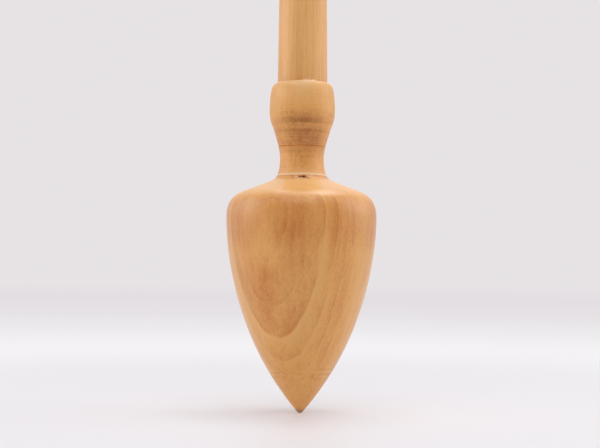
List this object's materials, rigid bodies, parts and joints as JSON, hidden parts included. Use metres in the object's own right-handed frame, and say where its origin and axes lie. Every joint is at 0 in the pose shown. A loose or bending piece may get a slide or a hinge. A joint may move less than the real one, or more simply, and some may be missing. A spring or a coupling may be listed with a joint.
{
  "type": "hand spindle",
  "caption": "Turned wooden hand spindle: pointed teardrop whorl, flared collar with a rounded bead, and a long tapering shaft, spun by hand on its point.",
  "frame": {"origin": "the point of the whorl, where the spindle turns in its bowl or on a table", "axes": "+Z runs from the point up the shaft; X and Y are alike, because every piece is turned round Z"},
  "size_m": [0.04, 0.04, 0.2897],
  "materials": {
    "whorl_wood": "turned fine-grained golden wood, sanded smooth and oiled to a soft satin gloss",
    "collar_wood": "turned fine-grained golden wood, a little browner than the whorl, nearly matte, with faint lathe lines",
    "shaft_wood": "straight-grained pale golden wood, sanded and nearly matte"
  },
  "bodies": {
    "root": {"whorl": "whorl_wood", "collar": "collar_wood", "shaft": "shaft_wood"}
  },
  "joints": []
}
